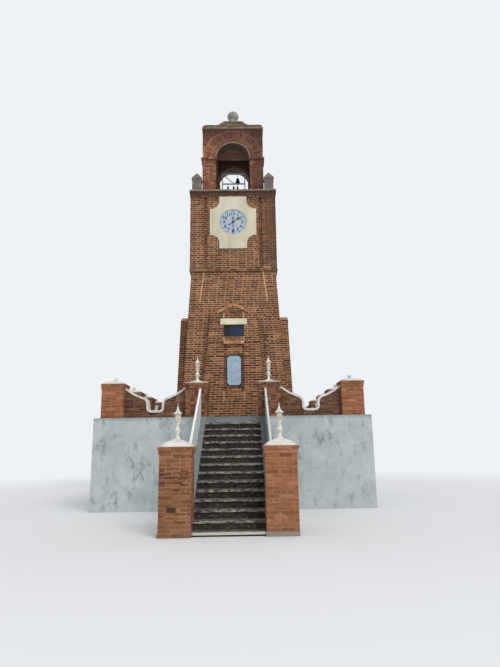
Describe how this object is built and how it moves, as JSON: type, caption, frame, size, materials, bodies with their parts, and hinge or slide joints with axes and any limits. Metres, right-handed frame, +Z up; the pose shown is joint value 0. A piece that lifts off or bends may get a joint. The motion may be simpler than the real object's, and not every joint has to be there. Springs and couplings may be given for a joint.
{
  "type": "clock tower",
  "caption": "Square brick clock tower with open arched belfry, bells and stepped roof, on a rendered platform with scalloped parapet and front stair between pillars.",
  "frame": {"origin": "on the tower's vertical axis, at ground level under the platform", "axes": "+Z up, the front with the stair and the dial faces -Y, +X to the right seen from the front"},
  "size_m": [7.2, 11.018, 13.8882],
  "materials": {
    "render": "weathered cement render, painted off-white on the caps",
    "brick": "hand-laid reddish-orange brick with light mortar joints",
    "tread": "worn cement tread with a pale nosing",
    "white_render": "white painted cement cap, chipped and stained",
    "plaster": "cream plaster with rain stains",
    "concrete": "bare cement slab edge, weathered",
    "grey_stone": "grey carved stone with lichen",
    "marble": "polished pale bluish marble",
    "black_board": "black lacquered backing",
    "dial_enamel": "pale bluish white enamel",
    "blue_paint": "dark blue paint",
    "lamp_paint": "white painted cast iron",
    "amber_glass": "amber lantern glass",
    "window_pane": "clear window glass",
    "steel": "galvanised steel bar",
    "bronze": "dark cast bell bronze"
  },
  "bodies": {
    "tower": {"platform_plinth": "render", "stair_core": "render", "stair_treads": "tread", "stair_walls": "render", "gate_pillars": "brick", "gate_pillar_caps": "white_render", "head_pillars": "brick", "head_pillar_caps": "white_render", "parapet_pillars": "brick", "parapet_pillar_caps": "white_render", "stair_lamps": "lamp_paint", "lamp_glasses": "amber_glass", "parapet_walls": "brick", "parapet_copings": "white_render", "shaft_front_wall": "brick", "shaft_back_wall": "brick", "shaft_side_walls": "brick", "front_projection": "brick", "other_projections": "brick", "projection_trims": "brick", "window_lintel": "plaster", "window_frame": "blue_paint", "window_glass": "window_pane", "plaque_frame": "black_board", "plaque": "marble", "ledge_course": "brick", "clock_stage_front_wall": "brick", "clock_stage_back_wall": "brick", "clock_stage_side_walls": "brick", "clock_cornice": "brick", "clock_panel": "plaster", "clock_dial": "dial_enamel", "clock_arbor": "steel", "belfry_slab": "concrete", "belfry_piers": "brick", "belfry_front_and_back_arches": "brick", "belfry_side_arches": "brick", "belfry_roof_slab": "concrete", "stepped_roof": "brick", "roof_finial": "grey_stone", "corner_pinnacles": "grey_stone", "bell_frame": "steel", "bells": "bronze"},
    "hour_hand": {"hour_hand": "blue_paint"},
    "minute_hand": {"minute_hand": "blue_paint"}
  },
  "joints": [
    {"name": "minute_hand_spin", "type": "hinge", "parent": "tower", "child": "minute_hand", "pos_m": [0, -1.442, 8.742], "axis": [0, 1, 0], "continuous": true},
    {"name": "hour_hand_spin", "type": "hinge", "parent": "tower", "child": "hour_hand", "pos_m": [0, -1.429, 8.742], "axis": [0, 1, 0], "continuous": true}
  ],
  "couplings": [
    {"joint": "hour_hand_spin", "follows": "minute_hand_spin", "ratio": 0.083333}
  ]
}
